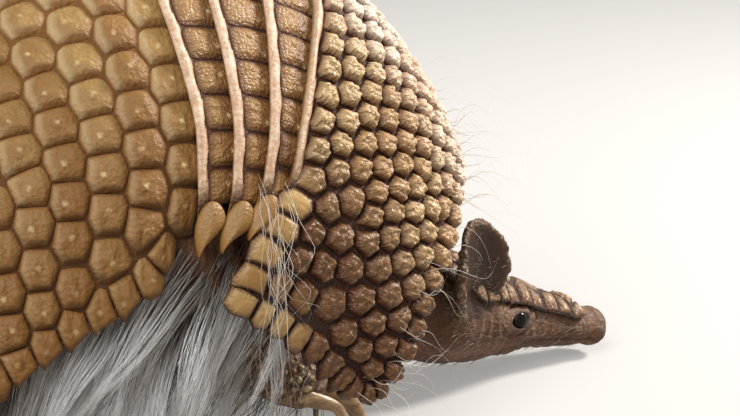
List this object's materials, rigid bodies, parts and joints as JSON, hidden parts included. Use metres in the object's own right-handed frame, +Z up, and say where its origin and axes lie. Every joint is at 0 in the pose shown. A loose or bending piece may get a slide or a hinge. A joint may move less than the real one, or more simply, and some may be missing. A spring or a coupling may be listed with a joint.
{
  "type": "southern three-banded armadillo",
  "caption": "Life-size model of an armadillo: domed armour of bony scutes in shields and movable bands, lowered head, short tail, digging claws and pale belly hair.",
  "frame": {"origin": "on the floor under the centre of the bounding box", "axes": "+X forward, towards the head; +Y to the animal's left; +Z up"},
  "size_m": [0.2498, 0.1112, 0.1127],
  "materials": {
    "shell": "horny, yellow-brown, with dark grooves",
    "skin": "wrinkled and scaly",
    "hair": "coarse pale hair",
    "eye": "wet, dark",
    "claw": "smooth horn"
  },
  "bodies": {
    "root": {"scapular_shield": "shell", "band_1": "shell", "band_2": "shell", "band_3": "shell", "pelvic_shield": "shell", "head_shield": "shell", "tail": "shell", "head": "skin", "neck": "skin", "ear_left": "skin", "ear_right": "skin", "foreleg_left": "skin", "foreleg_right": "skin", "hindleg_left": "skin", "hindleg_right": "skin", "trunk": "hair", "eye_left": "eye", "eye_right": "eye", "fore_claw_left_1": "claw", "fore_claw_left_2": "claw", "fore_claw_left_3": "claw", "fore_claw_left_4": "claw", "hind_claw_left_1": "claw", "hind_claw_left_2": "claw", "hind_claw_left_3": "claw", "hind_claw_left_4": "claw", "hind_claw_left_5": "claw", "fore_claw_right_1": "claw", "fore_claw_right_2": "claw", "fore_claw_right_3": "claw", "fore_claw_right_4": "claw", "hind_claw_right_1": "claw", "hind_claw_right_2": "claw", "hind_claw_right_3": "claw", "hind_claw_right_4": "claw", "hind_claw_right_5": "claw"}
  },
  "joints": []
}
